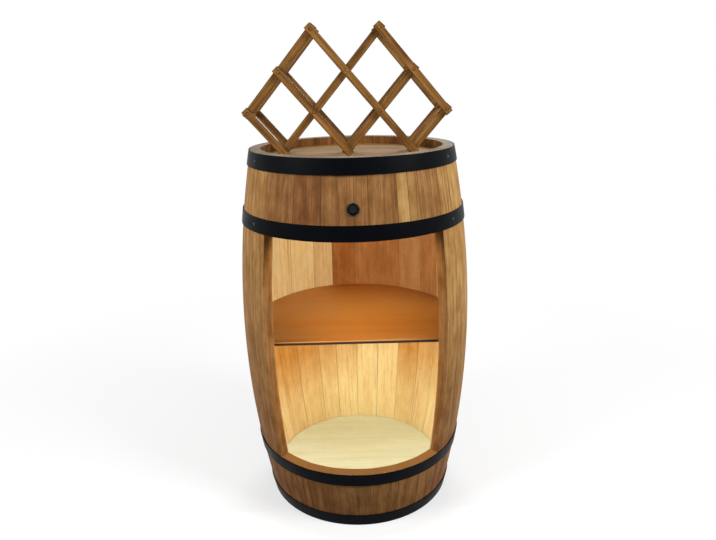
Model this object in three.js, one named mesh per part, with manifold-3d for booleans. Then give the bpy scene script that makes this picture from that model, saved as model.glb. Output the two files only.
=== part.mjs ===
// Barrel bar cabinet: a coopered barrel with a lit front opening and a folding rack on its head.
// Millimetres, +Z up, the opening facing -Y, origin at the bottom centre of the box that holds the part.
import * as THREE from 'three';
import { mergeVertices } from 'three/addons/utils/BufferGeometryUtils.js';
import Module from 'manifold-3d';

const wasm = await Module();
wasm.setup();

const degrees = THREE.MathUtils.degToRad;

// Barrel
const barrelHeight = 810;
const barrelEndRadius = 214;
const barrelBellyRadius = 257;
const staveThickness = 22;
const bellyLineCount = 6;
const wallLineCount = 4;

// Running and seating clearances
const seatGap = 0.3;
const cutOverrun = 5;

// Stave joints, with the widths of the staves as shares of the arc that they fill
const staveSeam = 0.3;
const seamGrooveWidth = 1.8;
const seamGrooveDepth = 1.2;
const openingHalfAngle = degrees(47);
const widestFacet = degrees(10);
const frontStaveShares = [18, 14, 22, 14, 13, 13];
const backStaveShares = [10, 18, 15, 13, 17, 14, 16, 15, 15, 14, 17, 13, 16, 15, 14, 16, 18, 10];
const stavesPerPiece = 2;

// Hoops
const hoopWidth = 30;
const hoopThickness = 2;
const innerHoopHeight = 120;

// Heads, seated in grooves near the ends of the staves
const topHeadRecess = 18;
const bottomHeadRecess = 22;
const headThickness = 15;
const headTongueThickness = 8;
const crozeDepth = 5;

// Heights, as shares of the opening for the shelf and of the band between the top hoops for the fittings
const shelfHeightShare = 0.53;
const switchHeightShare = 0.322;
const inletHeightShare = 0.178;

// Shelf and ceiling
const shelfThickness = 8;
const shelfFrontSetback = 90;
const ceilingLift = 4;
const ceilingThickness = 10;

// Rocker switch, set square to the sloping stave
const switchSeatDepth = 1.5;
const bezelRadius = 12;
const bezelThickness = 2.6;
const bezelLipRadius = 9.4;
const switchBodyRadius = 9.8;
const switchBodyDepth = 24;
const switchCupRadius = 8.6;
const switchCupDepth = 9;
const terminalWidth = 6.3;
const terminalThickness = 0.8;
const terminalLength = 8;
const terminalSpacing = 8;
const rockerRadius = 7.5;
const rockerFrontRise = 1.2;
const rockerWaist = 0.8;
const rockerBackDepth = 5.4;
const rockerPivotDepth = 3;
const rockerPinRadius = 1.2;
const rockerPinLength = 18.6;
const rockerRestTilt = degrees(10);
const switchSides = 24;

// Lamp controller and its power socket
const inletAngle = degrees(172.5);
const inletFlangeRadius = 7.5;
const inletFlangeThickness = 2;
const inletSeatDepth = 3.4;
const inletBodyRadius = 5.5;
const inletLength = 31;
const inletBoreRadius = 3.1;
const inletBoreDepth = 9;
const inletPinRadius = 1;
const inletSides = 18;
const controllerLength = 62;
const controllerWidth = 26;
const controllerHeight = 50;
const controllerCornerRadius = 3;
const controllerCornerFacets = 4;

// Light strips
const stripWidth = 8;
const stripThickness = 2.4;
const upperStripSetback = 37;
const upperStripEndGap = 5;
const lowerStripSetback = 14;
const lowerStripEndGap = 39;

// Wiring
const wireRadius = 1.2;
const wireSides = 5;
const wireHoleRadius = 3;
const wireBend = 7;
const wireLead = 14;
const wireStep = 12;
const wireWallInset = 9;
const wireDropAngle = degrees(-76);

// Where the wires leave the controller, as shares of its half width
const wireExitShares = [-0.6, 0, 0.6];

// Folding rack
const rackPitch = 101;
const rackRestAngle = degrees(49);
const rackDepth = 120;
const rackSideShift = -7;
const slatWidth = 15;
const slatOverhang = 10;
const slatThickness = 8;
const slatLayerGap = 0.5;
const dowelRadius = 3;
const dowelProud = 0.6;
const pivotClearance = 0.35;
const pivotSides = 12;

// Derived heights
const sillHeight = innerHoopHeight + hoopWidth;
const lintelHeight = barrelHeight - sillHeight;
const topHeadTop = barrelHeight - topHeadRecess;
const bottomHeadTop = bottomHeadRecess + headThickness;
const ceilingUnderside = lintelHeight + ceilingLift;
const ceilingTop = ceilingUnderside + ceilingThickness;
const shelfTop = sillHeight + (lintelHeight - sillHeight) * shelfHeightShare;
const shelfUnderside = shelfTop - shelfThickness;
const bandFoot = lintelHeight + hoopWidth;
const bandHeight = barrelHeight - hoopWidth - bandFoot;
const switchHeight = bandFoot + bandHeight * switchHeightShare;
const inletHeight = bandFoot + bandHeight * inletHeightShare;

const material = (color, roughness, metalness = 0) =>
  new THREE.MeshStandardMaterial({ color, roughness, metalness });

const goldenOak = () => material(0xb98549, 0.55);
const redOak = () => material(0x9c6238, 0.55);
const paleOak = () => material(0xcdb48c, 0.6);
const shelfBoard = () => material(0xb8702c, 0.5);
const rackWood = () => material(0x8a5527, 0.5);
const hoopSteel = () => material(0x15171a, 0.4, 0.6);
const blackPlastic = () => material(0x101012, 0.45);
const stripWhite = () => material(0xfff1cf, 0.4);
const wireSheath = () => material(0x1a1a1c, 0.6);

function addMesh(parent, name, geometry, surface) {
  const mesh = new THREE.Mesh(geometry, surface);
  mesh.name = name;
  parent.add(mesh);
  return mesh;
}

// Booleans

function toManifold(geometry) {
  const bare = geometry.clone();
  bare.deleteAttribute('normal');
  bare.deleteAttribute('uv');
  const merged = mergeVertices(bare);
  return new wasm.Manifold(new wasm.Mesh({
    numProp: 3,
    vertProperties: Float32Array.from(merged.attributes.position.array),
    triVerts: Uint32Array.from(merged.index.array),
  }));
}

function toGeometry(manifold) {
  const mesh = manifold.getMesh();
  const geometry = new THREE.BufferGeometry();
  geometry.setAttribute('position', new THREE.BufferAttribute(mesh.vertProperties, mesh.numProp));
  geometry.setIndex(Array.from(mesh.triVerts));
  geometry.computeVertexNormals();
  return geometry;
}

function cut(geometry, cutters) {
  let body = toManifold(geometry);
  cutters.forEach((cutter) => {
    body = body.subtract(toManifold(cutter));
  });
  return toGeometry(body);
}

function join(geometry, extras) {
  let body = toManifold(geometry);
  extras.forEach((extra) => {
    body = body.add(toManifold(extra));
  });
  return toGeometry(body);
}

// A solid through a row of rings of equal count, capped at both ends unless it closes on itself.
// Each ring runs so that its face normal points back along the row.
function loft(rings, capOutline) {
  const count = rings[0].length;
  const index = [];
  const steps = capOutline ? rings.length - 1 : rings.length;
  for (let step = 0; step < steps; step += 1) {
    const here = step * count;
    const there = ((step + 1) % rings.length) * count;
    for (let i = 0; i < count; i += 1) {
      const next = (i + 1) % count;
      index.push(here + i, there + i, here + next);
      index.push(here + next, there + i, there + next);
    }
  }
  if (capOutline) {
    const last = (rings.length - 1) * count;
    THREE.ShapeUtils.triangulateShape(capOutline, []).forEach(([a, b, c]) => {
      index.push(a, b, c);
      index.push(last + a, last + c, last + b);
    });
  }
  const geometry = new THREE.BufferGeometry();
  geometry.setFromPoints(rings.flat());
  geometry.setIndex(index);
  geometry.computeVertexNormals();
  return geometry;
}

// Angles run round the barrel from the front, which is zero, towards +X
const around = (radius, angle, z) =>
  new THREE.Vector3(radius * Math.sin(angle), -radius * Math.cos(angle), z);

// Barrel profile: a parabola from the belly to both ends

function barrelRadius(z) {
  const share = (2 * z) / barrelHeight - 1;
  return barrelBellyRadius - (barrelBellyRadius - barrelEndRadius) * share * share;
}

const wallLineRadius = (z) => barrelRadius(z) - staveThickness;

function between(low, high, count) {
  return Array.from({ length: count - 1 }, (unused, i) => low + ((high - low) * (i + 1)) / count);
}

const hoopLines = [0, hoopWidth, innerHoopHeight, sillHeight];
const outerLines = [
  ...hoopLines,
  ...between(sillHeight, lintelHeight, bellyLineCount),
  ...hoopLines.map((z) => barrelHeight - z).reverse(),
];

const tongueInset = (headThickness - headTongueThickness) / 2;
const topTongue = [topHeadTop - headThickness + tongueInset, topHeadTop - tongueInset];
const bottomTongue = [bottomHeadRecess + tongueInset, bottomHeadTop - tongueInset];

function crozeLines([low, high]) {
  const bottom = low - seatGap;
  const top = high + seatGap;
  return [[bottom, 0], [bottom, crozeDepth], [top, crozeDepth], [top, 0]];
}

// Inner lines of the wall, each a height and how far a groove cuts behind it
const wallLines = [
  [0, 0],
  ...crozeLines(bottomTongue),
  [sillHeight, 0],
  ...between(sillHeight, lintelHeight, wallLineCount).map((z) => [z, 0]),
  [lintelHeight, 0],
  ...crozeLines(topTongue),
  [barrelHeight, 0],
];

// Radius of the inner wall as built, straight from one wall line to the next
function wallRadius(z) {
  const heights = wallLines.map(([height]) => height);
  const upper = Math.max(1, heights.findIndex((height) => height >= z));
  const low = heights[upper - 1];
  const high = heights[upper];
  const share = high > low ? (z - low) / (high - low) : 0;
  return THREE.MathUtils.lerp(wallLineRadius(low), wallLineRadius(high), share);
}

function staveProfile(low, high) {
  const outer = outerLines
    .filter((z) => z >= low && z <= high)
    .map((z) => ({ radius: barrelRadius(z), z, side: -1 }));
  const inner = wallLines
    .filter(([z]) => z >= low && z <= high)
    .map(([z, depth]) => ({ radius: wallLineRadius(z) + depth, z, side: 1 }));
  return [...outer, ...inner.reverse()];
}

// Stave joints and facets round the barrel

function jointAngles(shares, from, to) {
  const total = shares.reduce((sum, share) => sum + share, 0);
  const angles = [from];
  shares.forEach((share) => {
    angles.push(angles[angles.length - 1] + ((to - from) * share) / total);
  });
  return angles;
}

const frontJoints = jointAngles(frontStaveShares, -openingHalfAngle, openingHalfAngle);
const backJoints = jointAngles(backStaveShares, openingHalfAngle, 2 * Math.PI - openingHalfAngle);
const seamAngle = staveSeam / barrelBellyRadius;
const grooveAngle = seamGrooveWidth / 2 / barrelBellyRadius;

function pieceStations(joints) {
  const stations = [];
  const last = joints.length - 1;
  for (let i = 0; i < last; i += 1) {
    const from = joints[i] + (i === 0 ? seamAngle / 2 : 0);
    const to = joints[i + 1] - (i === last - 1 ? seamAngle / 2 : 0);
    const full = [from + grooveAngle, to - grooveAngle];
    const facets = Math.ceil((full[1] - full[0]) / widestFacet);
    stations.push({ angle: from, grooved: true });
    stations.push({ angle: full[0], grooved: false });
    between(full[0], full[1], facets).forEach((angle) => stations.push({ angle, grooved: false }));
    stations.push({ angle: full[1], grooved: false });
  }
  stations.push({ angle: joints[last] - seamAngle / 2, grooved: true });
  return stations;
}

function pieces(joints) {
  const list = [];
  for (let i = 0; i + stavesPerPiece < joints.length; i += stavesPerPiece) {
    list.push(pieceStations(joints.slice(i, i + stavesPerPiece + 1)));
  }
  return list;
}

const frontPieces = pieces(frontJoints);
const backPieces = pieces(backJoints);
const wallAngles = [...frontPieces, ...backPieces]
  .flat()
  .filter((station) => !station.grooved)
  .map((station) => station.angle);

// Staves: pairs of neighbours, with a V groove outside and inside at every joint
function staveGeometry(stations, low, high) {
  const profile = staveProfile(low, high);
  const rings = stations.map(({ angle, grooved }) => profile.map((point) => {
    const groove = grooved ? point.side * seamGrooveDepth : 0;
    return around(point.radius + groove, angle, point.z);
  }));
  return loft(rings, profile.map((point) => new THREE.Vector2(point.radius, point.z)));
}

// A closed band round the barrel with the given section
function bandGeometry(section) {
  return loft(wallAngles.map((angle) => section.map(([radius, z]) => around(radius, angle, z))));
}

// A round board made of stacked levels, each a radius and a height, from the top down
function boardGeometry(levels) {
  const rings = levels.map(([radius, z]) => wallAngles.map((angle) => around(radius, angle, z)));
  return loft(rings, rings[0].map((point) => new THREE.Vector2(point.x, point.y)));
}

function post(radius, low, high, sides, x, y) {
  const geometry = new THREE.CylinderGeometry(radius, radius, high - low, sides);
  geometry.rotateX(Math.PI / 2);
  geometry.translate(x, y, (low + high) / 2);
  return geometry;
}

// Switch: its own frame has the outward axis along -Y and its origin on the stave

const switchSlope = Math.atan2(
  barrelRadius(switchHeight) - barrelRadius(switchHeight + bezelRadius),
  bezelRadius,
);
const switchFrame = new THREE.Group();
switchFrame.position.copy(around(barrelRadius(switchHeight), 0, switchHeight));
switchFrame.rotation.x = -switchSlope;
switchFrame.updateMatrixWorld();

// A cylinder along Y from one depth to another
function plug(radius, from, to, sides) {
  const geometry = new THREE.CylinderGeometry(radius, radius, to - from, sides);
  geometry.translate(0, (from + to) / 2, 0);
  return geometry;
}

const bezelBack = switchSeatDepth - seatGap;
const bezelFront = bezelBack - bezelThickness;

function switchCutters() {
  const seat = plug(bezelRadius + seatGap, -cutOverrun, switchSeatDepth, switchSides);
  const hole = plug(switchBodyRadius + seatGap, -cutOverrun, staveThickness + cutOverrun, switchSides);
  return [seat, hole].map((cutter) => cutter.applyMatrix4(switchFrame.matrixWorld));
}

function switchHousingGeometry() {
  const profile = [
    [0, switchCupDepth],
    [switchCupRadius, switchCupDepth],
    [switchCupRadius, bezelBack],
    [bezelLipRadius, bezelFront],
    [bezelRadius - bezelThickness / 2, bezelFront],
    [bezelRadius, bezelBack - bezelThickness / 2],
    [bezelRadius, bezelBack],
    [switchBodyRadius, bezelBack],
    [switchBodyRadius, switchBodyDepth],
    [0, switchBodyDepth],
  ].map(([radius, depth]) => new THREE.Vector2(radius, depth));
  const cup = new THREE.LatheGeometry(profile, switchSides);
  const terminals = [-1, 1].map((side) => {
    const blade = new THREE.BoxGeometry(terminalWidth, terminalLength, terminalThickness);
    const seatDepth = switchBodyDepth + terminalLength / 2 - terminalThickness;
    blade.translate(0, seatDepth, (side * terminalSpacing) / 2);
    return blade;
  });
  const bore = plug(rockerPinRadius + pivotClearance, -switchBodyRadius, switchBodyRadius, pivotSides);
  bore.rotateZ(Math.PI / 2);
  bore.translate(0, rockerPivotDepth, 0);
  return cut(join(cup, terminals), [bore]);
}

// Rocker: a round paddle with a V face, on a pin that turns in the housing. Its origin is the pin.
function rockerGeometry() {
  const front = -rockerFrontRise - rockerPivotDepth;
  const back = rockerBackDepth - rockerPivotDepth;
  const outline = [
    [-rockerRadius, front],
    [0, rockerWaist - rockerPivotDepth],
    [rockerRadius, front],
    [rockerRadius, back],
    [-rockerRadius, back],
  ].map(([z, y]) => new THREE.Vector2(z, y));
  const slab = new THREE.ExtrudeGeometry(new THREE.Shape(outline), {
    depth: 2 * rockerRadius,
    bevelEnabled: false,
  });
  slab.translate(0, 0, -rockerRadius);
  slab.rotateY(-Math.PI / 2);
  const disc = plug(rockerRadius, front, back, switchSides);
  const pin = plug(rockerPinRadius, -rockerPinLength / 2, rockerPinLength / 2, pivotSides);
  pin.rotateZ(Math.PI / 2);
  return toGeometry(toManifold(slab).intersect(toManifold(disc)).add(toManifold(pin)));
}

// Power socket: its own frame has the outward axis along -Y and its origin on the stave
const inletFrame = new THREE.Group();
inletFrame.position.copy(around(barrelRadius(inletHeight), inletAngle, inletHeight));
inletFrame.rotation.z = inletAngle;
inletFrame.updateMatrixWorld();

const inletFlangeBack = inletSeatDepth - seatGap;

function inletCutters() {
  const seat = plug(inletFlangeRadius + seatGap, -cutOverrun, inletSeatDepth, inletSides);
  const hole = plug(inletBodyRadius + seatGap, -cutOverrun, staveThickness + cutOverrun, inletSides);
  return [seat, hole].map((cutter) => cutter.applyMatrix4(inletFrame.matrixWorld));
}

function inletGeometry() {
  const flangeFront = inletFlangeBack - inletFlangeThickness;
  const boreFloor = flangeFront + inletBoreDepth;
  const profile = [
    [0, flangeFront + inletFlangeThickness],
    [inletPinRadius, flangeFront + inletFlangeThickness],
    [inletPinRadius, boreFloor],
    [inletBoreRadius, boreFloor],
    [inletBoreRadius, flangeFront],
    [inletFlangeRadius, flangeFront],
    [inletFlangeRadius, inletFlangeBack],
    [inletBodyRadius, inletFlangeBack],
    [inletBodyRadius, inletLength],
    [0, inletLength],
  ].map(([radius, depth]) => new THREE.Vector2(radius, depth));
  return new THREE.LatheGeometry(profile, inletSides);
}

// Barrel pieces, about the barrel's axis. The belly reaches further back than the hoop does in front,
// so the whole cabinet sits forward of the origin by half the difference.

const part = new THREE.Group();
const barrel = new THREE.Group();
const frontReach = barrelRadius(lintelHeight) + seatGap + hoopThickness;
barrel.position.y = (frontReach - barrelBellyRadius) / 2;
part.add(barrel);

backPieces.forEach((stations, i) => {
  let geometry = staveGeometry(stations, 0, barrelHeight);
  const holdsInlet = stations[0].angle < inletAngle && stations[stations.length - 1].angle > inletAngle;
  if (holdsInlet) {
    geometry = cut(geometry, inletCutters());
  }
  addMesh(barrel, `stave_pair_${i + 1}`, geometry, goldenOak());
});

const frontNames = ['left', 'centre', 'right'];
frontPieces.forEach((stations, i) => {
  const lower = staveGeometry(stations, 0, sillHeight);
  addMesh(barrel, `lower_front_staves_${frontNames[i]}`, lower, redOak());
  let upper = staveGeometry(stations, lintelHeight, barrelHeight);
  if (stations[0].angle < 0 && stations[stations.length - 1].angle > 0) {
    upper = cut(upper, switchCutters());
  }
  addMesh(barrel, `upper_front_staves_${frontNames[i]}`, upper, redOak());
});

function hoopSection(low) {
  const high = low + hoopWidth;
  const inner = [low, high].map((z) => barrelRadius(z) + seatGap);
  return [
    [inner[0], low],
    [inner[0] + hoopThickness, low],
    [inner[1] + hoopThickness, high],
    [inner[1], high],
  ];
}

const hoopFeet = {
  hoop_bottom_end: 0,
  hoop_bottom_inner: innerHoopHeight,
  hoop_top_inner: lintelHeight,
  hoop_top_end: barrelHeight - hoopWidth,
};
Object.entries(hoopFeet).forEach(([name, low]) => {
  addMesh(barrel, name, bandGeometry(hoopSection(low)), hoopSteel());
});

function headLevels(underside, tongue) {
  const top = underside + headThickness;
  const body = (z) => wallRadius(z) - seatGap;
  return [
    [body(top), top],
    [body(tongue[1]), tongue[1]],
    [body(tongue[1]) + crozeDepth, tongue[1]],
    [body(tongue[0]) + crozeDepth, tongue[0]],
    [body(tongue[0]), tongue[0]],
    [body(underside), underside],
  ];
}

const topHead = boardGeometry(headLevels(topHeadTop - headThickness, topTongue));
addMesh(barrel, 'top_head', topHead, paleOak());
const bottomHead = boardGeometry(headLevels(bottomHeadRecess, bottomTongue));
addMesh(barrel, 'bottom_head', bottomHead, paleOak());

// The front of the shelf and the two light strips, set back from the wall in front
const shelfFrontReach = wallRadius(shelfTop) - shelfFrontSetback;
const upperStripReach = wallRadius(ceilingUnderside) - upperStripSetback;
const lowerStripReach = shelfFrontReach - lowerStripSetback;

// The longest strip that fits across the barrel at a reach, less a gap at each end
function stripLength(z, reach, endGap) {
  const halfChord = Math.sqrt(wallRadius(z) ** 2 - (reach + stripWidth / 2) ** 2);
  return 2 * (halfChord - endGap);
}
const upperStripLength = stripLength(ceilingUnderside, upperStripReach, upperStripEndGap);
const lowerStripLength = stripLength(shelfUnderside, lowerStripReach, lowerStripEndGap);

// Where a cable passes down through the ceiling and the shelf
const dropThroughCeiling = around(wallRadius(ceilingTop) - wireWallInset, wireDropAngle, ceilingTop);
const dropThroughShelf = around(wallRadius(shelfUnderside) - wireWallInset, wireDropAngle, shelfTop);
const upperStripHole = new THREE.Vector3(stripWidth - upperStripLength / 2, -upperStripReach, ceilingTop);

function ceilingGeometry() {
  const board = boardGeometry([
    [wallRadius(ceilingTop) - seatGap, ceilingTop],
    [wallRadius(ceilingTop) - seatGap, ceilingUnderside],
  ]);
  const holes = [dropThroughCeiling, upperStripHole].map((at) =>
    post(wireHoleRadius, ceilingUnderside - cutOverrun, ceilingTop + cutOverrun, pivotSides, at.x, at.y));
  return cut(board, holes);
}
addMesh(barrel, 'ceiling_board', ceilingGeometry(), goldenOak());

// Shelf: a round board with its front cut straight
function shelfGeometry() {
  const radius = Math.min(wallRadius(shelfTop), wallRadius(shelfUnderside)) - seatGap;
  const board = boardGeometry([[radius, shelfTop], [radius, shelfUnderside]]);
  const front = new THREE.BoxGeometry(2 * barrelBellyRadius, barrelBellyRadius, barrelHeight);
  front.translate(0, -shelfFrontReach - barrelBellyRadius / 2, barrelHeight / 2);
  const hole = post(wireHoleRadius, shelfUnderside - cutOverrun, shelfTop + cutOverrun, pivotSides,
    dropThroughShelf.x, dropThroughShelf.y);
  return cut(board, [front, hole]);
}
addMesh(barrel, 'bar_shelf', shelfGeometry(), shelfBoard());

// Light strips under the ceiling and under the shelf

function stripGeometry(length, y, seat) {
  const geometry = new THREE.BoxGeometry(length, stripWidth, stripThickness);
  geometry.translate(0, y, seat - seatGap - stripThickness / 2);
  return geometry;
}
const upperStrip = stripGeometry(upperStripLength, -upperStripReach, ceilingUnderside);
addMesh(barrel, 'upper_light_strip', upperStrip, stripWhite());
const lowerStrip = stripGeometry(lowerStripLength, -lowerStripReach, shelfUnderside);
addMesh(barrel, 'lower_light_strip', lowerStrip, stripWhite());

// Switch

barrel.add(switchFrame);
addMesh(switchFrame, 'switch_housing', switchHousingGeometry(), blackPlastic());
const rocker = addMesh(switchFrame, 'switch_rocker', rockerGeometry(), blackPlastic());
rocker.position.y = rockerPivotDepth;
rocker.rotation.x = -rockerRestTilt;

// Power socket, with the lamp controller standing behind it

barrel.add(inletFrame);
addMesh(inletFrame, 'power_socket', inletGeometry(), blackPlastic());

const controllerFace = inletLength + seatGap;
function controllerGeometry() {
  const halfWidth = controllerWidth / 2;
  const corner = controllerCornerRadius;
  const outline = new THREE.Shape();
  outline.moveTo(-halfWidth + corner, controllerFace);
  outline.lineTo(halfWidth - corner, controllerFace);
  outline.quadraticCurveTo(halfWidth, controllerFace, halfWidth, controllerFace + corner);
  outline.lineTo(halfWidth, controllerFace + controllerLength);
  outline.lineTo(-halfWidth, controllerFace + controllerLength);
  outline.lineTo(-halfWidth, controllerFace + corner);
  outline.quadraticCurveTo(-halfWidth, controllerFace, -halfWidth + corner, controllerFace);
  return new THREE.ExtrudeGeometry(outline, {
    depth: controllerHeight,
    bevelEnabled: false,
    curveSegments: controllerCornerFacets,
  });
}
const controller = addMesh(inletFrame, 'lamp_controller', controllerGeometry(), blackPlastic());
controller.position.z = ceilingTop + seatGap - inletHeight;

// Wiring, in tubes along straight runs with rounded corners

function wirePath(points) {
  const path = new THREE.CurvePath();
  let from = points[0];
  points.slice(1, -1).forEach((corner, i) => {
    const before = corner.clone().add(points[i].clone().sub(corner).setLength(wireBend));
    const after = corner.clone().add(points[i + 2].clone().sub(corner).setLength(wireBend));
    path.add(new THREE.LineCurve3(from, before));
    path.add(new THREE.QuadraticBezierCurve3(before, corner, after));
    from = after;
  });
  path.add(new THREE.LineCurve3(from, points[points.length - 1]));
  return path;
}

function wireGeometry(points) {
  const outline = Array.from({ length: wireSides }, (unused, i) => {
    const angle = (2 * Math.PI * i) / wireSides;
    return new THREE.Vector2(wireRadius * Math.cos(angle), wireRadius * Math.sin(angle));
  });
  const path = wirePath(points);
  return new THREE.ExtrudeGeometry(new THREE.Shape(outline), {
    steps: Math.ceil(path.getLength() / wireStep),
    bevelEnabled: false,
    extrudePath: path,
  });
}

const onCeiling = ceilingTop + seatGap + wireRadius;
const atHeight = (point, z) => new THREE.Vector3(point.x, point.y, z);

// Where a wire leaves the controller's inner face, at a share of the face's half width
function controllerExit(share, reach) {
  const local = new THREE.Vector3(
    (share * controllerWidth) / 2,
    controllerFace + controllerLength + reach,
    0,
  );
  return atHeight(local.applyMatrix4(inletFrame.matrixWorld), onCeiling);
}

function addWire(name, exitShare, route) {
  const start = [controllerExit(exitShare, seatGap), controllerExit(exitShare, wireLead)];
  addMesh(barrel, name, wireGeometry([...start, ...route]), wireSheath());
}

const behindTerminal = (reach) =>
  new THREE.Vector3(0, switchBodyDepth + terminalLength - terminalThickness + reach, -terminalSpacing / 2)
    .applyMatrix4(switchFrame.matrixWorld);
const terminalLead = behindTerminal(wireLead);
addWire('switch_wire', wireExitShares[0], [
  atHeight(terminalLead, onCeiling),
  terminalLead,
  behindTerminal(seatGap),
]);

addWire('upper_strip_wire', wireExitShares[1], [
  atHeight(upperStripHole, ceilingTop + wireLead),
  atHeight(upperStripHole, ceilingUnderside),
]);

const underShelf = shelfUnderside - seatGap - stripThickness / 2;
const lowerStripEnd = new THREE.Vector3(-lowerStripLength / 2 - seatGap, -lowerStripReach, underShelf);
const lowerStripLead = lowerStripEnd.clone();
lowerStripLead.x -= wireLead;
addWire('lower_strip_wire', wireExitShares[2], [
  atHeight(dropThroughCeiling, ceilingTop + wireLead),
  atHeight(dropThroughCeiling, ceilingUnderside - wireLead),
  atHeight(dropThroughShelf, shelfTop + wireLead),
  atHeight(dropThroughShelf, shelfUnderside - wireLead),
  atHeight(lowerStripLead, underShelf),
  lowerStripEnd,
]);

// Folding rack: two lattices of crossing slats, joined from front to back by a dowel at every crossing.
// A lattice place is counted in half spans to the right of the middle and in rises above the bottom row.
const rack = new THREE.Group();
barrel.add(rack);

const halfSpan = rackPitch * Math.cos(rackRestAngle);
const rise = rackPitch * Math.sin(rackRestAngle);
const slatCornerReach = Math.hypot(slatOverhang, slatWidth / 2);
rack.position.set(rackSideShift, 0, topHeadTop + seatGap + slatCornerReach);

const places = {
  bottom_left: [-2, 0],
  bottom_centre: [0, 0],
  bottom_right: [2, 0],
  lower_far_left: [-3, 1],
  lower_left: [-1, 1],
  lower_right: [1, 1],
  lower_far_right: [3, 1],
  middle_left: [-2, 2],
  middle_centre: [0, 2],
  middle_right: [2, 2],
  top_left: [-1, 3],
  top_right: [1, 3],
};

// Slats as [number, place of the lowest crossing, how many pitches long]
const fallingSlats = [[1, 'bottom_left', 1], [2, 'bottom_centre', 2], [3, 'bottom_right', 3],
  [4, 'lower_far_right', 2]];
const risingSlats = [[1, 'lower_far_left', 2], [2, 'bottom_left', 3], [3, 'bottom_centre', 2],
  [4, 'bottom_right', 1]];

// A slat along +X from its first crossing, its thickness along +Y, bored at every crossing
function slatGeometry(pitches) {
  const half = slatWidth / 2;
  const end = pitches * rackPitch + slatOverhang;
  const outline = new THREE.Shape([
    new THREE.Vector2(-slatOverhang, -half),
    new THREE.Vector2(end, -half),
    new THREE.Vector2(end, half),
    new THREE.Vector2(-slatOverhang, half),
  ]);
  for (let i = 0; i <= pitches; i += 1) {
    const hole = new THREE.Path();
    hole.absarc(i * rackPitch, 0, dowelRadius + pivotClearance, 0, 2 * Math.PI, true);
    outline.holes.push(hole);
  }
  const geometry = new THREE.ExtrudeGeometry(outline, {
    depth: slatThickness,
    bevelEnabled: false,
    curveSegments: pivotSides / 2,
  });
  geometry.rotateX(Math.PI / 2);
  geometry.translate(0, slatThickness, 0);
  return geometry;
}

function addSlats(direction, slats, slope, frontFace) {
  slats.forEach(([number, place, pitches]) => {
    const [across, up] = places[place];
    const faces = { front: frontFace, back: -frontFace - slatThickness };
    Object.entries(faces).forEach(([side, y]) => {
      const slat = addMesh(rack, `rack_${direction}_${number}_${side}`, slatGeometry(pitches), rackWood());
      slat.position.set(across * halfSpan, y, up * rise);
      slat.rotation.y = -slope;
    });
  });
}

const frontLayer = -rackDepth / 2;
addSlats('fall', fallingSlats, Math.PI - rackRestAngle, frontLayer);
addSlats('rise', risingSlats, rackRestAngle, frontLayer + slatThickness + slatLayerGap);

Object.entries(places).forEach(([place, [across, up]]) => {
  const half = rackDepth / 2 + dowelProud;
  const dowel = addMesh(rack, `rack_dowel_${place}`, plug(dowelRadius, -half, half, pivotSides), rackWood());
  dowel.position.set(across * halfSpan, 0, up * rise);
});

export default part;
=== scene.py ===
# Barrel bar cabinet: an oak barrel with a lit front opening and a folding rack on its head.
# Metres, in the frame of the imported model: +Z up, the opening facing -Y.
import math

import bpy
from mathutils import Matrix, Vector


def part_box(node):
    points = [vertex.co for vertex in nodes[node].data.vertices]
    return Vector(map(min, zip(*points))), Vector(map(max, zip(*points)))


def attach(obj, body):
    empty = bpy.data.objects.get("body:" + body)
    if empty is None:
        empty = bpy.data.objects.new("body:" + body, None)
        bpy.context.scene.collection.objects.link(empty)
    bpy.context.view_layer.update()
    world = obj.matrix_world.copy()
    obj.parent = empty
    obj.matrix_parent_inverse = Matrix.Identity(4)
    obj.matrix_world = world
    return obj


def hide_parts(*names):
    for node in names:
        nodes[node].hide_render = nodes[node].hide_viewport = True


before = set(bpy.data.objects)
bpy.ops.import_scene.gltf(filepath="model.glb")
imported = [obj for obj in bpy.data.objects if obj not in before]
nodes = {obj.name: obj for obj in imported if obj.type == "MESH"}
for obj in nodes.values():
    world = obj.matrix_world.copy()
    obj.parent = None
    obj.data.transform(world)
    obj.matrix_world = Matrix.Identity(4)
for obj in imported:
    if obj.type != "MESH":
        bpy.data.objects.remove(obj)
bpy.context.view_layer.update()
print("frame loaded:", len(nodes), "nodes")

# Camera

cameraFit = {
    "distance": 1.35168,
    "height": 0.95109,
    "pitch": 0.3510,
    "roll": -0.0257,
    "focalShare": 0.86215,  # focal length over the sensor's width
    "shiftX": 0.0037,
    "shiftY": 0.0419,
}


def addObject(name, data):
    thing = bpy.data.objects.new(name, data)
    bpy.context.scene.collection.objects.link(thing)
    return thing


def makeCamera(fit):
    data = bpy.data.cameras.new("camera")
    data.lens = fit["focalShare"] * data.sensor_width
    data.shift_x = fit["shiftX"]
    data.shift_y = fit["shiftY"]
    camera = addObject("camera", data)
    place = Matrix.Translation((0, -fit["distance"], fit["height"]))
    tilt = Matrix.Rotation(math.pi / 2 - fit["pitch"], 4, "X")
    camera.matrix_world = place @ tilt @ Matrix.Rotation(fit["roll"], 4, "Z")
    bpy.context.scene.camera = camera


makeCamera(cameraFit)
bpy.context.scene.view_settings.view_transform = "Standard"

# Node trees


class Reading:  # a node's output, which + - * and / turn into math nodes
    def __init__(self, tree, socket):
        self.tree, self.socket = tree, socket

    def __add__(self, other):
        return calc("ADD", self, other)

    def __sub__(self, other):
        return calc("SUBTRACT", self, other)

    def __rsub__(self, other):
        return calc("SUBTRACT", other, self)

    def __mul__(self, other):
        return calc("MULTIPLY", self, other)

    def __truediv__(self, other):
        return calc("DIVIDE", self, other)


def feed(value, socket):
    if isinstance(value, Reading):
        value.tree.links.new(value.socket, socket)
    else:
        socket.default_value = value


def feedAll(node, inputs):
    for key, value in inputs.items():
        feed(value, node.inputs[key])


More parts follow.
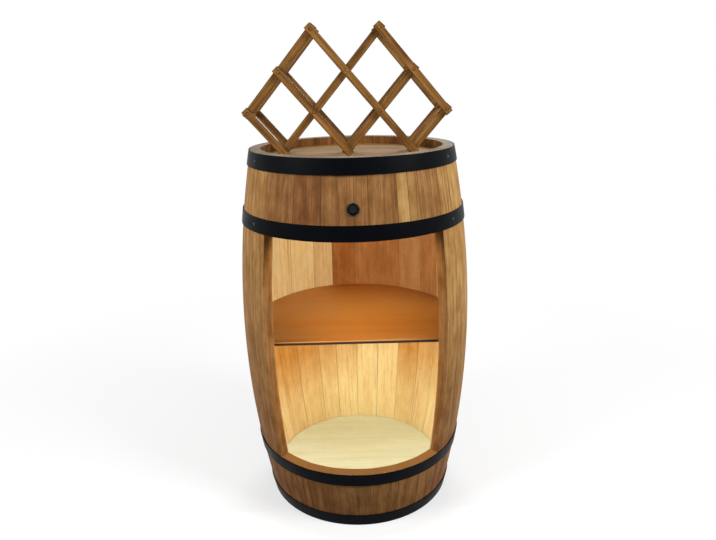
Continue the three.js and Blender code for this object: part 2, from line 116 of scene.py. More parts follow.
def addNode(tree, kind, inputs=None, **settings):
    node = tree.nodes.new(kind)
    for name, value in settings.items():
        setattr(node, name, value)
    feedAll(node, inputs or {})
    return node


def read(tree, kind, inputs=None, output=0, **settings):  # a new node's output
    return Reading(tree, addNode(tree, kind, inputs, **settings).outputs[output])


def shaped(tree, kind, inputs=None, **settings):  # the same for a geometry node
    return read(tree, "GeometryNode" + kind, inputs, **settings)


def readAll(tree, node):
    return {socket.name: Reading(tree, socket) for socket in node.outputs}


def gather(kind, key, values, **settings):  # a new node that takes many links at one socket
    tree = values[0].tree
    node = addNode(tree, kind, **settings)
    for value in values:
        feed(value, node.inputs[key])
    return Reading(tree, node.outputs[0])


def treeOf(*values):  # the tree of the first value that comes from a node
    return next(value.tree for value in values if isinstance(value, Reading))


def calc(operation, *values):
    return read(treeOf(*values), "ShaderNodeMath", dict(enumerate(values)), operation=operation)


def blendValues(share, low, high):  # low at share 0, high at share 1
    return calc("MULTIPLY_ADD", share, high - low, low)


def splitVector(vector):
    node = addNode(vector.tree, "ShaderNodeSeparateXYZ", {0: vector})
    return [Reading(vector.tree, socket) for socket in node.outputs]


def joinVector(x=0.0, y=0.0, z=0.0):
    return read(treeOf(x, y, z), "ShaderNodeCombineXYZ", {0: x, 1: y, 2: z})


def newTree(kind, name, inputs, outputs):  # each input and output by name, with its kind of socket
    tree = bpy.data.node_groups.new(name, kind)
    for way, labels in (("INPUT", inputs), ("OUTPUT", outputs)):
        for label, value in labels.items():
            tree.interface.new_socket(label, in_out=way, socket_type="NodeSocket" + value)
    given = readAll(tree, tree.nodes.new("NodeGroupInput"))
    return tree, given, tree.nodes.new("NodeGroupOutput").inputs


def newShape(name, floats, whole=()):  # a start mesh, sizes and a material go in, a shape comes out
    kinds = {"Geometry": "Geometry", **dict.fromkeys(floats, "Float"),
             **dict.fromkeys(whole, "Int"), "Material": "Material"}
    return newTree("GeometryNodeTree", name, kinds, {"Geometry": "Geometry"})


def endShape(shape, material, out):
    tree = shape.tree
    real = shaped(tree, "RealizeInstances", {"Geometry": shape})
    smooth = shaped(tree, "SetShadeSmooth", {"Geometry": real})
    feed(shaped(tree, "SetMaterial", {"Geometry": smooth, "Material": material}), out[0])
    return tree


def readAttribute(tree, name, kind="FLOAT"):
    return shaped(tree, "InputNamedAttribute", {"Name": name}, data_type=kind)


def storeAttribute(shape, name, value, domain="POINT"):
    inputs = {"Geometry": shape, "Name": name, "Value": value}
    return shaped(shape.tree, "StoreNamedAttribute", inputs, data_type="FLOAT", domain=domain)


def newMesh(name, points, faces):
    mesh = bpy.data.meshes.new(name)
    mesh.from_pydata(points, [], faces)
    return mesh


def storeValues(mesh, key, values):  # a number or a vector for each vertex
    if isinstance(values[0], Vector):
        flat = [part for value in values for part in value]
        mesh.attributes.new(key, "FLOAT_VECTOR", "POINT").data.foreach_set("vector", flat)
    else:
        mesh.attributes.new(key, "FLOAT", "POINT").data.foreach_set("value", values)


def tableMesh(name, rows):  # a vertex for each row, at its position, with its other values
    mesh = newMesh(name, [row.get("position", (0, 0, 0)) for row in rows], [])
    for key in rows[0]:
        if key != "position":
            storeValues(mesh, key, [row[key] for row in rows])
    return mesh


# Meshes


def easeEdges(width, segments=2, angle=35):
    return ("BEVEL", {"width": width, "segments": segments, "limit_method": "ANGLE",
                      "angle_limit": math.radians(angle), "use_clamp_overlap": True})


weighNormals = ("WEIGHTED_NORMAL", {"keep_sharp": False, "weight": 80})


def eased(width, angle):
    return [easeEdges(width, 2, angle), weighNormals]


def settle(holder, modifiers):  # the object's mesh with its modifiers applied, and the object gone
    for kind, settings in modifiers:
        modifier = holder.modifiers.new(kind, kind)
        for key, value in settings.items():
            setattr(modifier, key, value)
    settled = holder.evaluated_get(bpy.context.evaluated_depsgraph_get())
    mesh = bpy.data.meshes.new_from_object(settled)
    bpy.data.objects.remove(holder)
    return mesh


def bake(name, tree, values, start=None, modifiers=(), drop=()):
    # An input takes the value of its own name, such as Belly Radius that of bellyRadius
    holder = addObject(name, start or bpy.data.meshes.new(name))
    shaper = holder.modifiers.new("shape", "NODES")
    shaper.node_group = tree
    for item in tree.interface.items_tree:
        key = item.name[0].lower() + item.name[1:].replace(" ", "")
        if item.in_out == "INPUT" and key in values:
            shaper[item.identifier] = values[key]
    mesh = settle(holder, modifiers)
    for attribute in drop:
        mesh.attributes.remove(mesh.attributes[attribute])
    mesh.name = name
    return mesh


def smoothFaces(mesh, material):
    mesh.materials.clear()
    mesh.materials.append(material)
    for face in mesh.polygons:
        face.use_smooth = True
    return mesh


def ring(sides, radius):  # (across, up) round a circle
    turns = [2 * math.pi * k / sides for k in range(sides)]
    return [(radius * math.cos(turn), radius * math.sin(turn)) for turn in turns]


def ringFaces(start, rings, sides):  # the bands of faces from ring to ring, and one over the last
    faces, last = [], start + (rings - 1) * sides
    for here in range(start, last, sides):
        there = here + sides
        for k in range(sides):
            after = (k + 1) % sides
            faces.append((here + k, there + k, there + after, here + after))
    return faces, tuple(range(last, last + sides))[::-1]


def lathe(name, profile, sides, place, material):  # a profile of (radius, depth) along place's +Y
    points = [(x, depth, z) for radius, depth in profile for x, z in ring(sides, radius)]
    faces, last = ringFaces(0, len(profile), sides)
    mesh = newMesh(name, points, [*faces, tuple(range(sides)), last])
    mesh.transform(place)
    return smoothFaces(mesh, material)


def turned(name, profile, sides, place, material, edge, angle):  # lathed, with eased edges
    return settle(addObject(name, lathe(name, profile, sides, place, material)), eased(edge, angle))


def addPiece(name, mesh, body, slot, *stoodFor):
    piece = addObject(name, mesh)
    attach(piece, body)
    if stoodFor:
        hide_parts(*stoodFor)


# Materials


def paint(red, green, blue):  # a colour as it shows on screen, from 0 to 255 each
    shown = [channel / 255 for channel in (red, green, blue)]
    linear = [c / 12.92 if c <= 0.04045 else ((c + 0.055) / 1.055) ** 2.4 for c in shown]
    return (*linear, 1.0)


def newMaterial(name):
    material = bpy.data.materials.new(name)
    material.use_nodes = True
    tree = material.node_tree
    return material, tree, tree.nodes["Principled BSDF"]


def useEffect(effect, inputs):
    tree = inputs["Vector"].tree
    return readAll(tree, addNode(tree, "ShaderNodeGroup", inputs, node_tree=effect))


def noise(vector, scale, detail=3, roughness=0.5, seed=None):
    inputs = {"Vector": vector, "Scale": scale, "Detail": detail, "Roughness": roughness}
    if seed is None:
        return read(vector.tree, "ShaderNodeTexNoise", inputs)
    return read(vector.tree, "ShaderNodeTexNoise", {**inputs, "W": seed}, noise_dimensions="4D")


def remap(value, low, high, fromLow=0, fromHigh=1):
    inputs = {"Value": value, "From Min": fromLow, "From Max": fromHigh, "To Min": low,
              "To Max": high}
    return read(value.tree, "ShaderNodeMapRange", inputs)


def mixColours(share, first, second):
    inputs = {0: share, 6: first, 7: second}
    return read(share.tree, "ShaderNodeMix", inputs, output=2, data_type="RGBA")


def stretch(vector, scale):
    inputs = {0: vector, 1: scale}
    return read(vector.tree, "ShaderNodeVectorMath", inputs, operation="MULTIPLY")


def addBump(surface, strength, reach, height):
    inputs = {"Strength": strength, "Distance": reach, "Height": height}
    feed(read(height.tree, "ShaderNodeBump", inputs), surface.inputs["Normal"])


def objectSpot(tree):
    return read(tree, "ShaderNodeTexCoord", output="Object")


def objectAxis(tree, axis):
    return splitVector(objectSpot(tree))[axis]


def facing(tree, axis, low, high):  # 1 where the surface faces along the axis
    normal = splitVector(read(tree, "ShaderNodeNewGeometry", output="Normal"))
    return remap(calc("ABSOLUTE", normal[axis]), 0, 1, low, high)


def shaderAttribute(tree, name, output="Fac"):
    return read(tree, "ShaderNodeAttribute", output=output, attribute_name=name)


def staveTone(tree):
    return shaderAttribute(tree, "staveTone")


# Each layer: stretch along the board, scale, detail and roughness of its noise, and its range
grainLayers = {
    "Figure": (0.045, None, 3, 0.62, 0.3, 0.7),  # at the wood's own scale
    "Streaks": (0.02, 420, 4, 0.65, 0.36, 0.64),
    "Pores": (0.035, 1500, 2, 0.5, 0.6, 0.74),
    "Lines": (0.03, 210, 3, 0.6, 0.52, 0.66),
}
grainShape = {
    "bend": (9, 9, 2.2),
    "bendReach": 0.06,
    "clouds": (46, 46, 22),
    "cloudRange": (0.32, 0.68),
    "patches": (16, 16, 3),
    "patchLeast": 0.2,
    "patchRange": (0.4, 0.62),
    "bumpReach": 0.0004,
    "roughSpread": 0.06,
}


def makeWoodGrain():
    # The vector runs across, into and along the board, in metres
    inputs = {"Vector": "Vector", "Seed": "Float", "Ring Scale": "Float", "Waver": "Float"}
    masks = ("Figure", "Clouds", "Streaks", "Lines", "Pores", "Height")
    results = dict.fromkeys(masks, "Float")
    tree, given, out = newTree("ShaderNodeTree", "woodGrain", inputs, results)
    spot, seed = given["Vector"], given["Seed"]
    across, inward, along = splitVector(spot)
    bend = noise(stretch(spot, grainShape["bend"]), 1, 2, seed=seed)
    bent = calc("MULTIPLY_ADD", (bend - 0.5) * given["Waver"], grainShape["bendReach"], across)
    fibre = joinVector(bent, inward, along)
    found = {}
    for label, (length, scale, detail, roughness, low, high) in grainLayers.items():
        drawn = stretch(fibre, (1, 1, length))
        layer = noise(drawn, scale or given["Ring Scale"], detail, roughness, seed)
        found[label] = remap(layer, 0, 1, low, high)
    clouds = noise(stretch(fibre, grainShape["clouds"]), 1, 3, 0.6, seed)
    found["Clouds"] = remap(clouds, -1, 1, *grainShape["cloudRange"])
    patches = noise(stretch(spot, grainShape["patches"]), 1, 2, seed=seed)
    found["Lines"] *= remap(patches, grainShape["patchLeast"], 1, *grainShape["patchRange"])
    fine = calc("MULTIPLY_ADD", found["Streaks"], 0.5, found["Figure"] * 0.5)
    found["Height"] = fine - found["Pores"]
    for label, value in found.items():
        feed(value, out[label])
    return tree


woodGrain = makeWoodGrain()


# The seed is a number, or the name of the attribute that holds it
def woodMaterial(name, look, place, seed, tone=None, raw=None, touch=None):
    material, tree, surface = newMaterial(name)
    if isinstance(seed, str):
        seed = shaderAttribute(tree, seed)
    grain = useEffect(woodGrain, {"Vector": place(tree), "Seed": seed,
                                  "Ring Scale": look["ringScale"], "Waver": look["waver"]})
    mask = tone(tree) if tone else None
    inside, inner, upperShade = (part(tree) for part in raw) if raw else (None, None, None)
    line = look["line"]
    shades = {}
    for shade in ("light", "dark"):
        shades[shade] = look[shade]
        if tone:
            shades[shade] = mixColours(mask, look[shade], look[shade + "Toned"])
        if raw:  # unstained inside the cabinet, with painted shade above the shelf and painted light on the pale staves
            plain = mixColours(upperShade, look[shade + "Raw"], look[shade + "Ruddy"])
            bareAndLit = mixColours(inner, plain, look[shade + "RawToned"])
            shades[shade] = mixColours(inside, shades[shade], bareAndLit)
    if raw:
        line = mixColours(inside, line, look["lineRaw"])
    figure = calc("MULTIPLY_ADD", grain["Clouds"], look["cloudDepth"], grain["Figure"])
    colour = mixColours(figure, shades["dark"], shades["light"])
    fine = remap(grain["Streaks"], look["streakDepth"], 0)
    colour = mixColours(fine, colour, shades["dark"])
    colour = mixColours(grain["Lines"] * look["lineDepth"], colour, line)
    colour = mixColours(grain["Pores"] * look["poreDepth"], colour, look["pore"])
    if touch:
        colour = touch(tree, colour, look)
    spread = grainShape["roughSpread"]
    rough = remap(grain["Streaks"], look["roughness"] + spread, look["roughness"] - spread)
    feedAll(surface, {"Base Color": colour, "Roughness": rough,
                      "Specular IOR Level": look["gloss"]})
    addBump(surface, look["bump"], grainShape["bumpReach"], grain["Height"])
    return material


def makeMottle():
    # Slow clouds and fine specks, for the finish of metal and plastic
    sizes = ("Cloud Scale", "Speck Scale", "Lift", "Roughness", "Spread")
    inputs = {"Vector": "Vector", "Base": "Color", **dict.fromkeys(sizes, "Float")}
    results = {"Color": "Color", "Roughness": "Float", "Height": "Float"}
    tree, given, out = newTree("ShaderNodeTree", "mottle", inputs, results)
    cloud = noise(given["Vector"], given["Cloud Scale"], 4, 0.6)
    scaled = {0: given["Base"], "Scale": given["Lift"]}
    lifted = read(tree, "ShaderNodeVectorMath", scaled, operation="SCALE")
    spread = remap(cloud, -1, 1, 0.3, 0.7)
    rough = calc("MULTIPLY_ADD", spread, given["Spread"], given["Roughness"])
    feed(mixColours(cloud, given["Base"], lifted), out["Color"])
    feed(rough, out["Roughness"])
    feed(noise(given["Vector"], given["Speck Scale"], 2), out["Height"])
    return tree


mottle = makeMottle()
hardLook = {"cloudScale": 28, "speckScale": 1600, "lift": 1.6, "spread": 0.08, "gloss": 0.5,
            "metallic": 0, "bump": 0.25, "bumpReach": 0.00005}
plasticLook = {"cloudScale": 90, "speckScale": 2600, "lift": 1.5, "gloss": 0.3, "bump": 0.2}


def hardMaterial(name, changes):
    look = {**hardLook, **changes}
    material, tree, surface = newMaterial(name)
    finish = useEffect(mottle, {
        "Vector": objectSpot(tree), "Cloud Scale": look["cloudScale"],
        "Speck Scale": look["speckScale"], "Base": look["base"], "Lift": look["lift"],
        "Roughness": look["roughness"], "Spread": look["spread"]})
    feedAll(surface, {"Base Color": finish["Color"], "Roughness": finish["Roughness"],
                      "Metallic": look["metallic"], "Specular IOR Level": look["gloss"]})
    addBump(surface, look["bump"], look["bumpReach"], finish["Height"])
    return material


# Barrel

barrel = {
    "height": 0.810,
    "endRadius": 0.214,
    "bellyRadius": 0.257,
    "thickness": 0.022,
    "axisY": -0.0073733,
    "openingLow": 0.150,
    "openingHigh": 0.660,
    "openingHalf": 47,
    "seam": 0.00002,
    "flatness": 0.25,  # 0 is a round face, 1 a flat one
    "lift": 0.0,  # only a hoop stands off the wall and laps over itself
    "lapRise": 0.0,
    "lapAngle": 1.0,
    "edge": 0.0006,
    "across": 9,  # points across a stave and along it
    "along": 33,
    "rawTop": 0.664,  # the inner face is unstained up to here
    "innerFace": (0.85, 0.97),  # from outside to inside, as shares of the thickness
    "outerFace": (0.5, 0.97),
    "blur": 0.006,  # at the top of the unstained part, and at the opening's sides
    "sideBlur": 0.0005,
    "seedStep": 3.7,
    "cutMargin": 0.01,
    "cutSides": 64,
}
shelf = {"top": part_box("bar_shelf")[1].z, "underside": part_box("bar_shelf")[0].z}

# Widths as shares of the arc, each with a tone from 0, red brown, to 1, golden, or more at the
# foot, where painted shade darkens the tone
lowerFront = [(18, 0.7), (14, 1.0), (22, 1.8), (14, 2.0), (13, 1.6), (13, 1.3)]
upperFront = [(18, 0.22), (14, 0.08), (22, 0.22), (14, 0.24), (6, 0.8), (6, 0.5), (14, 0.3)]
# Here widths are in degrees, from the opening's right side round the back to its left, and two
# more tones are those of the unstained inner face, above and below the shelf, partly painted light
# and shade
backStaves = [
    (10, 0.66, 0.1, 0.1), (18, 0.8, 0.3, 0.35), (15, 0.45, 0.3, 0.4), (13, 0.34, 0.15, 0.35),
    (17, 0.5, 0.3, 0.45), (14, 0.24, 0.15, 0.35), (16, 0.4, 0.2, 0.2), (15, 0.52, 0.1, 0.9),
    (15, 0.3, 0.1, 0.85), (14.5, 0.42, 0.05, 0.5), (12.5, 0.2, 0.6, 0.3), (17, 0.46, 0.8, 0.16),
    (16, 0.36, 0.8, 0.1), (15, 0.52, 1.0, 0.12), (14, 0.28, 0.95, 0.16), (16, 0.44, 1.0, 0.2),
    (18, 0.52, 1.0, 0.25), (10, 0.56, 0.2, 0.1),
]


def barrelRadius(z):
    share = 2 * z / barrel["height"] - 1
    return barrel["bellyRadius"] - (barrel["bellyRadius"] - barrel["endRadius"]) * share * share


def around(radius, angle, z):  # angles in degrees from the front, towards +X
    turn = math.radians(angle)
    return Vector((radius * math.sin(turn), barrel["axisY"] - radius * math.cos(turn), z))


def barrelPlace(tree):  # Object coordinates turned to across, depth and height on the barrel's wall
    x, y, z = splitVector(objectSpot(tree))
    forward = barrel["axisY"] - y
    angle = calc("ARCTAN2", x, forward)
    radius = calc("SQRT", calc("MULTIPLY_ADD", x, x, forward * forward))
    share = calc("MULTIPLY_ADD", z, 2 / barrel["height"], -1.0)
    sag = share * share * (barrel["bellyRadius"] - barrel["endRadius"])
    return joinVector(angle * barrel["bellyRadius"], barrel["bellyRadius"] - (sag + radius), z)


def openingSide(tree):  # 1 on the two upright faces beside the opening
    wall = splitVector(barrelPlace(tree))
    side = math.radians(barrel["openingHalf"]) * barrel["bellyRadius"]
    beside = calc("COMPARE", calc("ABSOLUTE", wall[0]), side, barrel["sideBlur"])
    foot, head = barrel["openingLow"], barrel["openingHigh"]
    return beside * calc("COMPARE", wall[2], (foot + head) / 2, (head - foot) / 2)


def insideWall(tree):  # 1 on the inner face of a stave, below the ceiling board
    wall = splitVector(barrelPlace(tree))
    inner = remap(wall[1], 0, 1, *(share * barrel["thickness"] for share in barrel["innerFace"]))
    return inner * remap(wall[2], 1, 0, barrel["rawTop"], barrel["rawTop"] + barrel["blur"])


def endGrain(tree, colour, look):  # dark joints between staves, end grain on the rim and the sill
    edge, width = shaderAttribute(tree, "staveEdge"), look["jointWidth"]
    joint = remap(edge, look["jointDepth"], 0, width / 2, width)
    colour = mixColours(joint * (1.0 - openingSide(tree)), colour, look["joint"])
    speck = remap(noise(objectSpot(tree), look["endSpecks"], 3, 0.6), 0, 1, *look["speckRange"])
    sill, rim = (mixColours(speck, *look[ends]) for ends in ("sillEnds", "rimEnds"))
    high = remap(objectAxis(tree, 2), 0, 1, *look["rimFrom"])
    return mixColours(facing(tree, 2, *look["endsFace"]), colour, mixColours(high, sill, rim))


def wallTone(tree):  # painted shade: the staves are darker towards the foot
    look = oakLook
    # painted shade: the stave tone darkens from one height down to the foot
    fade = remap(objectAxis(tree, 2), look["dullTone"], 1, look["dullTo"], look["dullFrom"])
    depth = splitVector(barrelPlace(tree))[1]
    outside = remap(depth, 1, 0, *(share * barrel["thickness"] for share in barrel["outerFace"]))
    outerWall = outside * (1.0 - openingSide(tree))
    return blendValues(outerWall, look["hollowTone"], staveTone(tree) * fade)


def aboveShelf(tree):
    return remap(objectAxis(tree, 2), 0, 1, shelf["underside"], shelf["top"])


def innerTone(tree):  # painted light: the lower walls are paler towards the floor
    look = oakLook
    # painted light: paler towards the floor of the lower compartment
    pale = remap(objectAxis(tree, 2), look["footPale"], 0, look["paleTo"], look["paleFrom"])
    lower = shaderAttribute(tree, "staveLower") + pale
    return blendValues(aboveShelf(tree), lower, shaderAttribute(tree, "staveUpper"))


oakLook = {
    "light": paint(165, 107, 64),
    "dark": paint(110, 67, 36),
    "lightToned": paint(228, 186, 120),
    "darkToned": paint(182, 135, 72),
    "lightRaw": paint(208, 150, 68),
    "darkRaw": paint(178, 118, 44),
    # painted shade on the inner face above the shelf
    "lightRuddy": paint(170, 102, 48),
    "darkRuddy": paint(134, 72, 30),
    # painted light: the palest inner face, where the strips light it most
    "lightRawToned": paint(244, 234, 202),
    "darkRawToned": paint(232, 212, 166),
    "line": paint(82, 50, 26),
    "lineRaw": paint(176, 118, 62),
    "lineDepth": 0.6,
    "pore": paint(58, 34, 16),
    "ringScale": 75,
    "waver": 0.5,
    "cloudDepth": 0.55,
    "streakDepth": 0.6,
    "poreDepth": 0.5,
    "roughness": 0.6,
    "gloss": 0.06,
    "bump": 0.3,
    "joint": paint(66, 40, 20),
    "jointDepth": 0.55,
    "jointWidth": 0.0009,
    "sillEnds": (paint(90, 60, 32), paint(146, 102, 57)),
    "rimEnds": (paint(98, 86, 68), paint(134, 118, 96)),
    "rimFrom": (0.67, 0.68),  # from here up the end grain is the rim's
    "endsFace": (0.75, 0.95),
    "endSpecks": 900,
    "speckRange": (0.35, 0.65),
    "dullFrom": 0.55,  # below this height painted shade darkens the tone
    "dullTo": 0.06,
    "dullTone": 0.12,
    "hollowTone": 0.22,  # on the inner face above the ceiling board and beside the opening
    "footPale": 0.6,  # painted light: how much paler the inner face gets, from one height down to another
    "paleFrom": 0.25,
    "paleTo": 0.12,
}
staveOak = woodMaterial("staveOak", oakLook, barrelPlace, "staveSeed", wallTone,
                        (insideWall, innerTone, aboveShelf), endGrain)
boardTable = ("fromAngle", "toAngle", "low", "high", "tone", "upper", "lower", "seed")


def staveRows(staves, start, end, low, high, firstSeed):
    total = sum(stave[0] for stave in staves)
    rows, angle = [], start
    for i, (share, tone, *inner) in enumerate(staves):
        nextAngle = angle + (end - start) * share / total
        values = (math.radians(angle), math.radians(nextAngle), low, high, tone,
                  *(inner or (0.0, 0.0)), firstSeed + i * barrel["seedStep"])
        rows.append(dict(zip(boardTable, values)))
        angle = nextAngle
    return rows


def unitBlocks(points, keys, across=2, along=2):  # one on each point, with the point's values
    tree = points.tree
    block = shaped(tree, "MeshCube", {
        "Size": (1, 1, 1), "Vertices X": across, "Vertices Y": 2, "Vertices Z": along})
    blocks = shaped(tree, "InstanceOnPoints", {"Points": points, "Instance": block})
    real = shaped(tree, "RealizeInstances", {"Geometry": blocks})
    for key in keys:
        real = storeAttribute(real, "stave" + key.title(), readAttribute(tree, key), "FACE")
    return real, splitVector(shaped(tree, "InputPosition"))


def makeBentBoard():
    # A board bent round the barrel for each vertex, from one angle to another and from low to high
    tree, given, out = newShape("bentBoard", (
        "Height", "End Radius", "Belly Radius", "Axis Y", "Lift", "Thickness", "Seam", "Flatness",
        "Lap Rise", "Lap Angle"), ("Across", "Along"))
    real, spot = unitBlocks(given["Geometry"], ("tone", "upper", "lower", "seed"),
                            given["Across"], given["Along"])
    across, depth, rise = (part + 0.5 for part in spot)
    fromAngle, toAngle, low, high = (readAttribute(tree, key) for key in boardTable[:4])
    belly = given["Belly Radius"]
    gap = given["Seam"] * 0.5 / belly
    angle = blendValues(across, fromAngle + gap, toAngle - gap)
    nearest = calc("MINIMUM", across, 1.0 - across)
    width = (toAngle - fromAngle) * belly
    real = storeAttribute(real, "staveEdge", nearest * width)
    height = blendValues(rise, low, high)
    share = height * 2.0 / given["Height"] - 1.0
    swell = belly - given["End Radius"]
    bilge = belly - swell * (share * share)
    halfWidth = (toAngle - fromAngle) * 0.5
    middle = (toAngle + fromAngle) * 0.5
    chord = calc("COSINE", halfWidth) / calc("COSINE", angle - middle)
    flattened = blendValues(given["Flatness"], 1.0, chord)
    lap = read(tree, "ShaderNodeMapRange", {
        "Value": angle, "From Min": toAngle - given["Lap Angle"] * 1.6,
        "From Max": toAngle - given["Lap Angle"], "To Max": given["Lap Rise"],
    }, interpolation_type="SMOOTHSTEP")
    outer = calc("MULTIPLY_ADD", bilge, flattened, given["Lift"]) + lap
    radius = outer - given["Thickness"] * depth
    place = joinVector(radius * calc("SINE", angle),
                       given["Axis Y"] - radius * calc("COSINE", angle), height)
    bent = shaped(tree, "SetPosition", {"Geometry": real, "Position": place})
    return endShape(bent, given["Material"], out)


bentBoard = makeBentBoard()


switch = {
    "height": 0.71898,
    "seat": 0.0015,
    "bezelRadius": 0.012,
    "bezelThickness": 0.0026,
    "lipRadius": 0.0094,
    "cupRadius": 0.0086,
    "cupDepth": 0.009,
    "bodyRadius": 0.0098,
    "bodyDepth": 0.024,
    "clearance": 0.0003,
    "rockerRadius": 0.0075,
    "rockerRise": 0.0012,
    "rockerWaist": 0.0008,
    "rockerBack": 0.0054,
    "rockerRings": 6,
    "pivotDepth": 0.003,
    "tilt": 10,
    "edge": 0.00035,
    "rockerEdge": 0.0003,
    "sides": 64,
}
socket = {
    "height": 0.70602,
    "angle": 172.5,
    "seat": 0.0034,
    "flangeRadius": 0.0075,
    "flangeThickness": 0.002,
    "bodyRadius": 0.0055,
    "length": 0.031,
    "boreRadius": 0.0031,
    "boreDepth": 0.009,
    "pinRadius": 0.001,
    "clearance": 0.0003,
    "edge": 0.00025,
    "sides": 48,
}


def switchPlace():
    drop = barrelRadius(switch["height"]) - barrelRadius(switch["height"] + switch["bezelRadius"])
    slope = math.atan2(drop, switch["bezelRadius"])
    seat = around(barrelRadius(switch["height"]), 0, switch["height"])
    return Matrix.Translation(seat) @ Matrix.Rotation(-slope, 4, "X")


def socketPlace():
    seat = around(barrelRadius(socket["height"]), socket["angle"], socket["height"])
    return Matrix.Translation(seat) @ Matrix.Rotation(math.radians(socket["angle"]), 4, "Z")


def holeCutter(place, fitting, flange):  # a stepped plug, to cut a seat and a hole
    margin = barrel["cutMargin"]
    seatRadius = fitting[flange] + fitting["clearance"]
    holeRadius = fitting["bodyRadius"] + fitting["clearance"]
    profile = [(seatRadius, -margin), (seatRadius, fitting["seat"]), (holeRadius, fitting["seat"]),
               (holeRadius, barrel["thickness"] + margin)]
    return addObject("cutter", lathe("cutter", profile, barrel["cutSides"], place, staveOak))


def makeStaves(name, staves, start, end, low, high, firstSeed, slot, stoodFor, cutter=None):
    modifiers = [easeEdges(barrel["edge"], 2, 50)]
    if cutter:
        modifiers.append(("BOOLEAN", {"operation": "DIFFERENCE", "object": cutter,
                                      "solver": "EXACT"}))
    table = tableMesh(name, staveRows(staves, start, end, low, high, firstSeed))
    mesh = bake(name, bentBoard, {**barrel, "material": staveOak}, table,
                [*modifiers, weighNormals], boardTable)
    if cutter:
        bpy.data.objects.remove(cutter)
    addPiece(name, mesh, "barrel", slot, *stoodFor)


half = barrel["openingHalf"]
low, high, top = barrel["openingLow"], barrel["openingHigh"], barrel["height"]
thirds = ("left", "centre", "right")
switchCutter = holeCutter(switchPlace(), switch, "bezelRadius")
socketCutter = holeCutter(socketPlace(), socket, "flangeRadius")
makeStaves("fullStaves", backStaves, half, 360 - half, 0, top, 1.0, "golden_staves",
           [f"stave_pair_{i}" for i in range(1, 10)], socketCutter)
makeStaves("lowerFrontStaves", lowerFront, -half, half, 0, low, 80.0, "front_staves",
           [f"lower_front_staves_{side}" for side in thirds])
makeStaves("upperFrontStaves", upperFront, -half, half, high, top, 150.0, "front_staves",
           [f"upper_front_staves_{side}" for side in thirds], switchCutter)
print("staves made")

# Hoops, each a strip lapped over itself at the back and riveted

hoops = {
    "width": 0.030,
    "thickness": 0.002,
    "gap": 0.0003,
    "start": 176,
    "lapAngle": 9,
    "lapRise": 0.00215,
    "edge": 0.0005,
    "seam": 0.0,
    "flatness": 0.0,
    "across": 181,
    "along": 4,
    "rivetRadius": 0.0028,
    "rivetRise": 0.0013,
    "rivetSegments": 20,
    "rivetRings": 10,
    "lapRivets": (178.2, 182.8),
}
hoopFeet = {  # height of the lower edge, and the angles of the rivets
    "hoop_bottom_end": (0.0, (-62, 60, -118, 121)),
    "hoop_bottom_inner": (0.120, (-57, 58, -124, 119)),
    "hoop_top_inner": (0.660, (-55.5, 56, -121, 122)),
    "hoop_top_end": (0.780, (-60.3, 59.2, -119, 118)),
}
blackSteel = hardMaterial("blackSteel", {"base": paint(2, 3, 6), "roughness": 0.42, "gloss": 0.04})
rivetSteel = hardMaterial("rivetSteel", {
    "base": paint(52, 54, 60), "roughness": 0.42, "metallic": 0.6})


def makeRivetHeads():
    sizes, counts = ("Rivet Radius", "Rivet Rise"), ("Rivet Segments", "Rivet Rings")
    tree, given, out = newShape("rivetHeads", sizes, counts)
    ball = shaped(tree, "MeshUVSphere", {
        key: given["Rivet " + key] for key in ("Segments", "Rings", "Radius")})
    squash = joinVector(1.0, 1.0, given["Rivet Rise"] / given["Rivet Radius"])
    dome = shaped(tree, "Transform", {"Geometry": ball, "Scale": squash})
    turn = read(tree, "FunctionNodeAlignRotationToVector", {
        "Vector": readAttribute(tree, "outward", "FLOAT_VECTOR")}, axis="Z")
    heads = shaped(tree, "InstanceOnPoints", {
        "Points": given["Geometry"], "Instance": dome, "Rotation": turn})
    return endShape(heads, given["Material"], out)


rivetHeads = makeRivetHeads()


def rivetRow(z, angle, lift):
    share = 2 * z / barrel["height"] - 1
    slope = 4 * share * (barrel["bellyRadius"] - barrel["endRadius"]) / barrel["height"]
    outward = around(1, angle, slope) - Vector((0, barrel["axisY"], 0))
    return {"position": around(barrelRadius(z) + lift, angle, z), "outward": outward.normalized()}


def makeHoop(name, foot, rivets):
    start, lap = math.radians(hoops["start"]), hoops["lapAngle"]
    row = {**dict.fromkeys(boardTable, 0.0), "fromAngle": start, "low": foot,
           "toAngle": start + math.radians(360 + lap), "high": foot + hoops["width"]}
    lift = hoops["gap"] + hoops["thickness"]
    sizes = {**barrel, **hoops, "lift": lift, "lapAngle": math.radians(lap), "material": blackSteel}
    mesh = bake(name, bentBoard, sizes, tableMesh(name, [row]), eased(hoops["edge"], 60),
                boardTable)
    addPiece(name + "_band", mesh, "barrel", "hoop_steel", name)
    middle = foot + hoops["width"] / 2
    rows = [rivetRow(middle, angle, lift) for angle in rivets]
    rows += [rivetRow(middle, angle, lift + hoops["lapRise"]) for angle in hoops["lapRivets"]]
    domes = bake(name, rivetHeads, {**hoops, "material": rivetSteel}, tableMesh(name, rows),
                 drop=("outward",))
    addPiece(name + "_rivets", domes, "barrel", "hoop_steel")


for name, (foot, rivets) in hoopFeet.items():
    makeHoop(name, foot, rivets)
print("hoops made")

# Heads, each of planks cut to a disc

